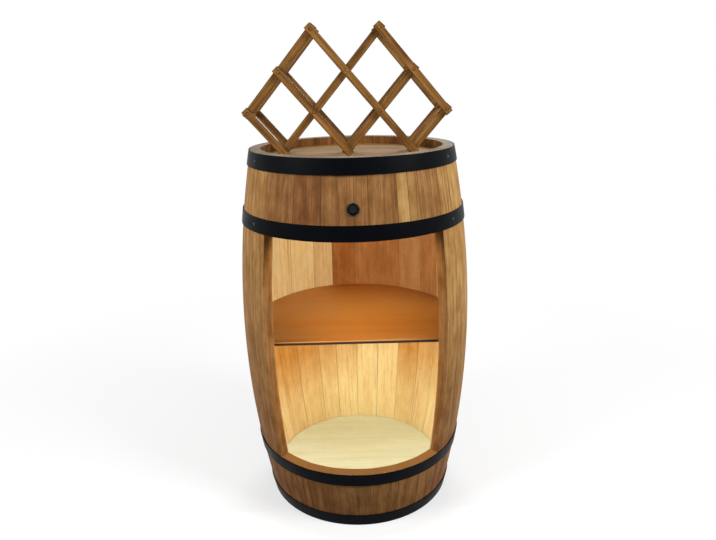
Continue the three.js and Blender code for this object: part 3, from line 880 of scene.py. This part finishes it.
heads = {
    "thickness": 0.015,
    "gap": 0.0003,
    "seam": 0.0006,
    "edge": 0.0007,
    "topLevel": 0.792,
    "bottomLevel": 0.037,
    # Each plank's share of the width, and its tone
    "planks": ((62, 0.3), (74, 0.7), (58, 0.2), (80, 0.6), (66, 0.45), (72, 0.8)),
    "plankReach": 2.2,  # their length before they are cut, in radii
    "seeds": (11.0, 5.3),  # of the first plank, and the step to the next
    "sides": 180,
}
headLook = {
    "light": paint(164, 126, 72),
    "dark": paint(126, 92, 48),
    "lightToned": paint(174, 136, 82),
    "darkToned": paint(140, 104, 58),
    "line": paint(96, 66, 32),
    "lineDepth": 0.4,
    "pore": paint(96, 66, 36),
    "ringScale": 60,
    "waver": 0.7,
    "cloudDepth": 0.2,
    "streakDepth": 0.35,
    "poreDepth": 0.35,
    "roughness": 0.62,
    "gloss": 0.03,
    "bump": 0.2,
}
# painted light: a paler copy of the head's wood, for the lower compartment's floor under the strip
litFloorLook = {
    **headLook,
    "light": paint(216, 227, 216),
    "dark": paint(204, 212, 194),
    "lightToned": paint(220, 231, 222),
    "darkToned": paint(210, 218, 204),
    "line": paint(176, 146, 100),
    "lineDepth": 0.2,
    "pore": paint(150, 120, 78),
}


def makePlankDisc():
    sizes = ("Radius", "Thickness", "Level", "Axis Y", "Plank Reach")
    tree, given, out = newShape("plankDisc", sizes, ("Sides",))
    real, spot = unitBlocks(given["Geometry"], ("tone", "seed"))
    width = readAttribute(tree, "width") * spot[1]
    middle = given["Level"] - given["Thickness"] * 0.5
    place = joinVector(spot[0] * (given["Radius"] * given["Plank Reach"]),
                       readAttribute(tree, "centre") + width + given["Axis Y"],
                       calc("MULTIPLY_ADD", spot[2], given["Thickness"], middle))
    sawn = shaped(tree, "SetPosition", {"Geometry": real, "Position": place})
    disc = shaped(tree, "MeshCylinder", {
        "Vertices": given["Sides"], "Radius": given["Radius"], "Depth": given["Thickness"] * 2.0})
    seated = shaped(tree, "Transform", {
        "Geometry": disc, "Translation": joinVector(0.0, given["Axis Y"], middle)})
    cut = gather("GeometryNodeMeshBoolean", "Mesh 2", (seated, sawn), operation="INTERSECT",
                 solver="EXACT")
    return endShape(cut, given["Material"], out)


def turnedGrain(vector):  # grain along the vector's first axis
    x, y, z = splitVector(vector)
    return joinVector(y, z, x)


def flatPlace(tree):  # grain that runs from left to right on a level board
    return turnedGrain(objectSpot(tree))


headOak = woodMaterial("headOak", headLook, flatPlace, "staveSeed", staveTone)
floorOak = woodMaterial("floorOak", litFloorLook, flatPlace, "staveSeed", staveTone)
plankDisc = makePlankDisc()


def makeHead(name, level, wood):
    total = sum(width for width, tone in heads["planks"])
    narrowest = min(barrelRadius(level), barrelRadius(level - heads["thickness"]))
    radius = narrowest - barrel["thickness"] - heads["gap"]
    rows, reach = [], -radius
    firstSeed, seedStep = heads["seeds"]
    for i, (width, tone) in enumerate(heads["planks"]):
        size = 2 * radius * width / total
        rows.append({"centre": reach + size / 2, "width": size - heads["seam"], "tone": tone,
                     "seed": firstSeed + seedStep * i})
        reach += size
    values = {**heads, "radius": radius, "level": level, "axisY": barrel["axisY"], "material": wood}
    mesh = bake(name, plankDisc, values, tableMesh(name, rows), eased(heads["edge"], 50))
    addPiece(name + "_planks", mesh, "barrel", "head_boards", name)


makeHead("top_head", heads["topLevel"], headOak)
makeHead("bottom_head", heads["bottomLevel"], floorOak)
print("heads made")

# Shelf and ceiling board

shelfLook = {
    "light": paint(142, 86, 32),
    "dark": paint(128, 74, 25),
    "line": paint(110, 62, 22),
    "lineDepth": 0.3,
    "pore": paint(92, 50, 18),
    # painted shade on the front face, under a painted highlight along its top
    "edge": paint(52, 28, 12),
    "lip": paint(196, 140, 78),
    "lipHeight": 0.0026,
    "lipBlur": 0.0003,
    "back": paint(214, 146, 78),
    "backDepth": 0.9,
    "backFrom": -0.05,
    "backTo": 0.2,
    "ringScale": 34,
    "waver": 1.2,
    "cloudDepth": 0.15,
    "streakDepth": 0.1,
    "poreDepth": 0.3,
    "roughness": 0.42,
    "gloss": 0.3,
    "bump": 0.1,
    "softEdge": 0.0008,
    "frontFace": (0.55, 0.9),
    "seed": 31.0,
}
ceilingLook = {
    **shelfLook,
    "light": paint(186, 142, 92),
    "dark": paint(150, 104, 62),
    "seed": 47.0,
}


def shelfEdge(tree, colour, look):  # paler to the back, with a painted highlight along the top of the front face over painted shade below it
    back = remap(objectAxis(tree, 1), 0, look["backDepth"], look["backFrom"], look["backTo"])
    colour = mixColours(back, colour, look["back"])
    foot, blur = shelf["top"] - look["lipHeight"], look["lipBlur"]
    lip = remap(objectAxis(tree, 2), 0, 1, foot - blur, foot + blur)
    front = mixColours(lip, look["edge"], look["lip"])
    return mixColours(facing(tree, 1, *look["frontFace"]), colour, front)


def softened(name, material, width):  # a copy of a CAD board with eased edges
    soft = settle(addObject(name + "Soft", nodes[name].data.copy()), [
        ("WELD", {"merge_threshold": 0.00001}),
        ("DECIMATE", {"decimate_type": "DISSOLVE", "angle_limit": math.radians(1)}),
        *eased(width, 50)])
    return smoothFaces(soft, material)


def dress(name, material):  # a CAD node keeps its shape and takes a material
    node = nodes[name]
    node.data.materials.clear()
    node.data.materials.append(material)


shelfWood = woodMaterial("shelfWood", shelfLook, flatPlace, shelfLook["seed"], touch=shelfEdge)
ceilingWood = woodMaterial("ceilingWood", ceilingLook, flatPlace, ceilingLook["seed"])
shelfBoard = softened("bar_shelf", shelfWood, shelfLook["softEdge"])
addPiece("shelf_board", shelfBoard, "barrel", "shelf_board", "bar_shelf")
dress("ceiling_board", ceilingWood)
print("shelf and ceiling made")

# Light strips: a glowing tape with a row of chips on its underside

strips = {
    "width": 0.008,
    "tape": 0.0009,
    "tapeEdge": 0.0002,
    "tapeColour": (1.0, 0.86, 0.66, 1.0),
    "tapeGlow": 0.6,
    "chipSide": 0.0046,
    "chipRise": 0.0013,
    "chipEdge": 0.0003,
    "chipColour": (1.0, 0.72, 0.38, 1.0),
    "chipGlow": 6.0,
    "pitch": 0.0167,
    "cloudScale": 220,
    "cloudShade": 0.85,
    "roughness": 0.35,
}


def glowMaterial(name, colour, strength):
    material, tree, surface = newMaterial(name)
    cloud = noise(objectSpot(tree), strips["cloudScale"], 2)
    darker = (*(strips["cloudShade"] * channel for channel in colour[:3]), 1.0)
    shade = mixColours(cloud, colour, darker)
    feedAll(surface, {"Base Color": shade, "Emission Color": shade, "Emission Strength": strength,
                      "Roughness": strips["roughness"]})
    return material


def rowOf(count, pitch, shape):  # the shape again and again along X
    line = shaped(shape.tree, "MeshLine", {"Count": count, "Offset": joinVector(pitch)})
    return shaped(shape.tree, "InstanceOnPoints", {"Points": line, "Instance": shape})


def makeChipRow():
    tree, given, out = newShape("chipRow", ("Pitch", "Chip Side", "Chip Rise"), ("Count",))
    size = joinVector(given["Chip Side"], given["Chip Side"], given["Chip Rise"])
    chip = shaped(tree, "MeshCube", {"Size": size})
    return endShape(rowOf(given["Count"], given["Pitch"], chip), given["Material"], out)


chipGlow = glowMaterial("chipGlow", strips["chipColour"], strips["chipGlow"])
tapeWhite = glowMaterial("tapeWhite", strips["tapeColour"], strips["tapeGlow"])
chipRow = makeChipRow()


def makeStrip(name):
    lowest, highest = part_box(name)
    tape = softened(name, tapeWhite, strips["tapeEdge"])
    tapeShare = strips["tape"] / (highest.z - lowest.z)
    for vertex in tape.vertices:
        vertex.co.z = highest.z - (highest.z - vertex.co.z) * tapeShare
    count = int((highest.x - lowest.x) / strips["pitch"])
    middle = (lowest + highest) / 2
    start = Vector((middle.x - (count - 1) * strips["pitch"] / 2, middle.y,
                    highest.z - strips["tape"] - strips["chipRise"] / 2))
    values = {**strips, "count": count, "material": chipGlow}
    chips = bake(name, chipRow, values, modifiers=[easeEdges(strips["chipEdge"], 1)])
    chips.transform(Matrix.Translation(start))
    addPiece(name + "_tape", tape, "barrel", "light_strip", name)
    addPiece(name + "_chips", chips, "barrel", "light_strip")


makeStrip("upper_light_strip")
makeStrip("lower_light_strip")
print("light strips made")

# Switch and power socket

blackPlastic = hardMaterial("blackPlastic", {
    **plasticLook, "base": paint(7, 7, 8), "roughness": 0.32, "gloss": 0.18})
wireSheath = hardMaterial("wireSheath", {
    **plasticLook, "base": paint(26, 26, 28), "roughness": 0.5})


def makeSwitch():
    back = switch["seat"] - switch["clearance"]
    front = back - switch["bezelThickness"]
    outer = switch["bezelRadius"]
    slope = switch["bezelThickness"] / 2
    cup, lip, body = (switch[part + "Radius"] for part in ("cup", "lip", "body"))
    profile = [(cup, switch["cupDepth"]), (cup, back), (lip, front), (outer - slope, front),
               (outer, back - slope), (outer, back), (body, back), (body, switch["bodyDepth"])]
    mesh = turned("switchHousing", profile, switch["sides"], switchPlace(), blackPlastic,
                  switch["edge"], 25)
    addPiece("switch_bezel", mesh, "barrel", "black_plastic", "switch_housing")


def makeRocker():
    # Rings of a polar grid: the front is a shallow V, the back is flat
    sides, rings, waist = switch["sides"], switch["rockerRings"], switch["rockerWaist"]
    radius, front = switch["rockerRadius"], -switch["rockerRise"]
    points = [(0, waist, 0)]
    for i in range(1, rings + 1):
        for x, z in ring(sides, radius * i / rings):
            points.append((x, waist + (front - waist) * abs(z) / radius, z))
    points += [(x, switch["rockerBack"], z) for x, y, z in points[-sides:]]
    middle = [(0, 1 + k, 1 + (k + 1) % sides) for k in range(sides)]
    faces, back = ringFaces(1, rings + 1, sides)
    mesh = smoothFaces(newMesh("rocker", points, [*middle, *faces, back]), blackPlastic)
    tilt = Matrix.Rotation(math.radians(-switch["tilt"]), 4, "X")
    pivot = Matrix.Translation((0, switch["pivotDepth"], 0))
    mesh.transform(switchPlace() @ pivot @ tilt @ pivot.inverted())
    mesh = settle(addObject("rocker", mesh), eased(switch["rockerEdge"], 12))
    addPiece("switch_paddle", mesh, "rocker", "black_plastic", "switch_rocker")


def makeSocket():
    back = socket["seat"] - socket["clearance"]
    front = back - socket["flangeThickness"]
    floor = front + socket["boreDepth"]
    pin, bore, flange, body = (
        socket[part + "Radius"] for part in ("pin", "bore", "flange", "body"))
    profile = [(pin, back), (pin, floor), (bore, floor), (bore, front), (flange, front),
               (flange, back), (body, back), (body, socket["length"])]
    mesh = turned("powerSocket", profile, socket["sides"], socketPlace(), blackPlastic,
                  socket["edge"], 25)
    addPiece("power_jack", mesh, "barrel", "black_plastic", "power_socket")


makeSwitch()
makeRocker()
makeSocket()
dress("lamp_controller", blackPlastic)
for name in ("switch_wire", "upper_strip_wire", "lower_strip_wire"):
    dress(name, wireSheath)
print("switch and socket made")

# Folding rack

rack = {
    "pitch": 0.101,
    "angle": 49,
    "depth": 0.120,
    "slatWidth": 0.015,
    "overhang": 0.010,
    "slatThickness": 0.008,
    "layerGap": 0.0005,
    "holeRadius": 0.00335,
    "dowelRadius": 0.003,
    "dowelProud": 0.0006,
    "dowelEdge": 0.0004,
    "sides": 24,  # of a dowel and of its hole
    "edge": 0.0007,
    "level": 0.8048,
    "shift": -0.007,
    "slatSeeds": (7.1, 2.9),  # the steps from slat to slat, and from front to back
    "dowelSeeds": (60, 4.3),  # of the first dowel, and the step to the next
}
rackLook = {
    "light": paint(190, 136, 70),
    "dark": paint(92, 58, 24),
    "line": paint(74, 44, 16),
    "lineDepth": 0.6,
    # painted shade along the slats' narrow sides
    "edge": paint(58, 34, 14),
    "edgeDepth": 0.85,
    "edgeWidth": 0.0018,
    "pore": paint(46, 26, 10),
    "ringScale": 130,
    "waver": 0.3,
    "cloudDepth": 0.2,
    "streakDepth": 0.5,
    "poreDepth": 0.5,
    "roughness": 0.5,
    "gloss": 0.12,
    "bump": 0.06,
}
crossings = {  # half pitches across, pitches up, and the body that holds the dowel
    "bottom_left": (-2, 0, "rise_2"), "bottom_centre": (0, 0, "rack_foot"),
    "bottom_right": (2, 0, "fall_3"), "lower_far_left": (-3, 1, "fall_1"),
    "lower_left": (-1, 1, "fall_2"), "lower_right": (1, 1, "rise_3"),
    "lower_far_right": (3, 1, "rise_4"), "middle_left": (-2, 2, "fall_2"),
    "middle_centre": (0, 2, "rise_2"), "middle_right": (2, 2, "rise_3"),
    "top_left": (-1, 3, "fall_3"), "top_right": (1, 3, "rise_2"),
}
slats = {  # the lowest crossing, and how many pitches long
    "fall_1": ("bottom_left", 1), "fall_2": ("bottom_centre", 2),
    "fall_3": ("bottom_right", 3), "fall_4": ("lower_far_right", 2),
    "rise_1": ("lower_far_left", 2), "rise_2": ("bottom_left", 3),
    "rise_3": ("bottom_centre", 2), "rise_4": ("bottom_right", 1),
}


def makeBoredSlat():
    sizes = ("Length", "Overhang", "Slat Width", "Slat Thickness", "Pitch", "Hole Radius")
    tree, given, out = newShape("boredSlat", sizes, ("Holes", "Sides"))
    outline = shaped(tree, "CurvePrimitiveQuadrilateral", {
        "Width": given["Length"], "Height": given["Slat Width"]})
    along = joinVector(given["Length"] * 0.5 - given["Overhang"])
    placed = shaped(tree, "Transform", {"Geometry": outline, "Translation": along})
    hole = shaped(tree, "CurvePrimitiveCircle", {
        "Resolution": given["Sides"], "Radius": given["Hole Radius"]})
    holes = rowOf(given["Holes"], given["Pitch"], hole)
    bored = shaped(tree, "RealizeInstances", {"Geometry": holes})
    both = gather("GeometryNodeJoinGeometry", 0, (placed, bored))
    face = shaped(tree, "FillCurve", {"Curve": both}, mode="TRIANGLES")
    under = shaped(tree, "FlipFaces", {"Mesh": face})
    raised = shaped(tree, "ExtrudeMesh", {
        "Mesh": face, "Offset": joinVector(z=given["Slat Thickness"]), "Offset Scale": 1.0,
        "Individual": False})
    shell = gather("GeometryNodeJoinGeometry", 0, (under, raised))
    closed = shaped(tree, "MergeByDistance", {"Geometry": shell, "Distance": 0.00001})
    return endShape(closed, given["Material"], out)


def slatPlace(tree):  # grain along the slat, from its own attribute
    return turnedGrain(shaderAttribute(tree, "grainSpot", "Vector"))


def slatEdgeShade(tree, colour, look):  # painted shade, darker along the narrow sides
    across = splitVector(slatPlace(tree))[0]
    side = rack["slatWidth"] / 2
    edge = remap(calc("ABSOLUTE", across), 0, look["edgeDepth"], side - look["edgeWidth"], side)
    return mixColours(edge, colour, look["edge"])


rackWood = woodMaterial("rackWood", rackLook, slatPlace, "grainSeed", touch=slatEdgeShade)
boredSlat = makeBoredSlat()


def latticeSpot(crossing):
    across, up, body = crossings[crossing]
    turn = math.radians(rack["angle"])
    return Vector((rack["shift"] + across * rack["pitch"] * math.cos(turn), barrel["axisY"],
                   rack["level"] + up * rack["pitch"] * math.sin(turn)))


def markGrain(mesh, seed, order=(0, 1, 2)):  # keeps each point's own place, with its length first
    spots = [Vector([vertex.co[i] for i in order]) for vertex in mesh.vertices]
    storeValues(mesh, "grainSpot", spots)
    storeValues(mesh, "grainSeed", [seed] * len(spots))


def makeSlat(name, side, seed):
    crossing, pitches = slats[name]
    falling = name.startswith("fall")
    slope = math.pi - math.radians(rack["angle"]) if falling else math.radians(rack["angle"])
    front = -rack["depth"] / 2
    if not falling:
        front += rack["slatThickness"] + rack["layerGap"]
    y = front if side == "front" else -front - rack["slatThickness"]
    flat = Matrix.Translation((0, rack["slatThickness"], 0)) @ Matrix.Rotation(math.pi / 2, 4, "X")
    spot = Matrix.Translation(latticeSpot(crossing) + Vector((0, y, 0)))
    stand = spot @ Matrix.Rotation(-slope, 4, "Y")
    values = {**rack, "length": pitches * rack["pitch"] + 2 * rack["overhang"],
              "holes": pitches + 1, "material": rackWood}
    mesh = bake("slat", boredSlat, values, modifiers=eased(rack["edge"], 50))
    markGrain(mesh, seed)
    mesh.transform(stand @ flat)
    addPiece(f"slat_{name}_{side}", mesh, name, "rack_wood", f"rack_{name}_{side}")


def makeDowel(crossing, seed):
    end = rack["depth"] / 2 + rack["dowelProud"]
    profile = [(rack["dowelRadius"], -end), (rack["dowelRadius"], end)]
    mesh = turned("dowel", profile, rack["sides"], Matrix.Identity(4), rackWood,
                  rack["dowelEdge"], 50)
    markGrain(mesh, seed, (1, 0, 2))
    mesh.transform(Matrix.Translation(latticeSpot(crossing)))
    body = crossings[crossing][2]
    addPiece(f"dowel_{crossing}", mesh, body, "rack_wood", f"rack_dowel_{crossing}")


slatStep, backStep = rack["slatSeeds"]
for i, name in enumerate(slats):
    for j, side in enumerate(("front", "back")):
        makeSlat(name, side, slatStep * i + backStep * j)
dowelSeed, dowelStep = rack["dowelSeeds"]
for i, crossing in enumerate(crossings):
    makeDowel(crossing, dowelSeed + dowelStep * i)
print("rack made")

# Floor, backdrop and light

studio = {
    "floorRadius": 30,
    "floorSides": 64,
    "floorSeen": (1.0, 1.0, 1.0, 1.0),
    "floorBounce": (0.14, 0.14, 0.14, 1.0),  # what the floor throws back at the object
    "floorGlow": 0.55,
    "floorRoughness": 0.9,
    "fadeFrom": 0.5,
    "fadeTo": 1.6,
    "ambient": 0.2,
    "stripColour": (1.0, 0.93, 0.62),
    "stripDrop": 0.001,
}
studioLamps = {  # place, target, size and power
    "key": ((1.7, -1.05, 1.9), (0, 0, 0.6), 1.0, 46),
    "fill": ((-1.7, -1.0, 1.9), (0, 0, 0.6), 1.0, 36),
    "back": ((0.2, 1.9, 1.9), (0, 0, 0.5), 1.2, 26),
}
stripLamps = {  # power, spread and lean to the back
    "upper_light_strip": (1.15, 140, 1.1),
    "lower_light_strip": (1.0, 150, 0.9),
}


def seenByEye(tree):  # 1 for what the camera sees, straight, in gloss or through glass
    rays = readAll(tree, addNode(tree, "ShaderNodeLightPath"))
    seen = calc("MAXIMUM", rays["Is Camera Ray"], rays["Is Glossy Ray"])
    return calc("MAXIMUM", seen, rays["Is Transmission Ray"])


def makeFloor():
    points = [(x, y, 0) for x, y in ring(studio["floorSides"], studio["floorRadius"])]
    mesh = newMesh("floor", points, [tuple(range(len(points)))])
    floor = addObject("floor", mesh)
    material, tree, surface = newMaterial("floorPaper")
    eye = seenByEye(tree)
    colour = mixColours(eye, studio["floorBounce"], studio["floorSeen"])
    feedAll(surface, {"Base Color": colour, "Roughness": studio["floorRoughness"],
                      "Specular IOR Level": 0.0})
    glow = read(tree, "ShaderNodeEmission", {"Color": (1, 1, 1, 1), "Strength": 1.0})
    away = read(tree, "ShaderNodeVectorMath", {0: objectSpot(tree)}, "Value", operation="LENGTH")
    fade = remap(away, studio["floorGlow"], 1, studio["fadeFrom"], studio["fadeTo"])
    paper = Reading(tree, surface.outputs[0])
    mix = read(tree, "ShaderNodeMixShader", {0: eye * fade, 1: paper, 2: glow})
    feed(mix, tree.nodes["Material Output"].inputs["Surface"])
    mesh.materials.append(material)


def makeWorld():
    world = bpy.data.worlds.new("studio")
    bpy.context.scene.world = world
    world.use_nodes = True
    tree = world.node_tree
    strength = blendValues(seenByEye(tree), studio["ambient"], 1.0)
    feedAll(tree.nodes["Background"], {"Color": (1, 1, 1, 1), "Strength": strength})


def makeLamp(name, spot, target, size, power, colour=(1, 1, 1), height=None, spread=180):
    data = bpy.data.lights.new(name, "AREA")
    data.shape = "RECTANGLE"
    data.size, data.size_y = size, height or size
    data.energy = power
    data.color = colour
    data.spread = math.radians(spread)
    lamp = addObject(name, data)
    lamp.location = spot
    lamp.rotation_euler = (Vector(target) - Vector(spot)).to_track_quat("-Z", "Y").to_euler()
    lamp.visible_camera = False


makeFloor()
makeWorld()
for name, (spot, target, size, power) in studioLamps.items():
    makeLamp(name, spot, target, size, power)
for name, (power, spread, lean) in stripLamps.items():
    lowest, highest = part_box(name)
    spot = (lowest + highest) / 2
    spot.z = lowest.z - studio["stripDrop"]
    makeLamp(name + "_lamp", spot, spot + Vector((0, lean, -1)), highest.x - lowest.x, power,
             studio["stripColour"], strips["width"], spread)
print("studio made")
